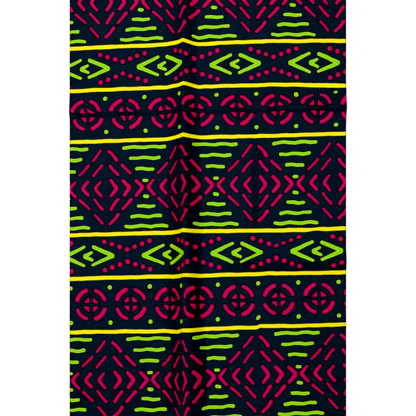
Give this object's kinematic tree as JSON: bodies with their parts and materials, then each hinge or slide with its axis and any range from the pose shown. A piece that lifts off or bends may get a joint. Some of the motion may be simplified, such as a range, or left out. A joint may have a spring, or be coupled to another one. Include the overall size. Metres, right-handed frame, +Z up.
{
  "type": "printed cotton cloth panel",
  "caption": "Cotton cloth panel laid flat, printed in bands of geometric motifs, with one standing crease from selvedge to selvedge.",
  "frame": {"origin": "centre of the bounding box's footprint, on the plane the cloth rests on", "axes": "+Z up from the surface under the cloth, +Y across the cloth from selvedge to selvedge, +X along its length"},
  "size_m": [0.686, 1.1854, 0.0266],
  "materials": {
    "wax_print_cotton": "plain-woven cotton with a faint waxy sheen, dark blue-green ground printed in magenta, lime and yellow"
  },
  "bodies": {
    "root": {"cloth_panel": "wax_print_cotton"}
  },
  "joints": []
}
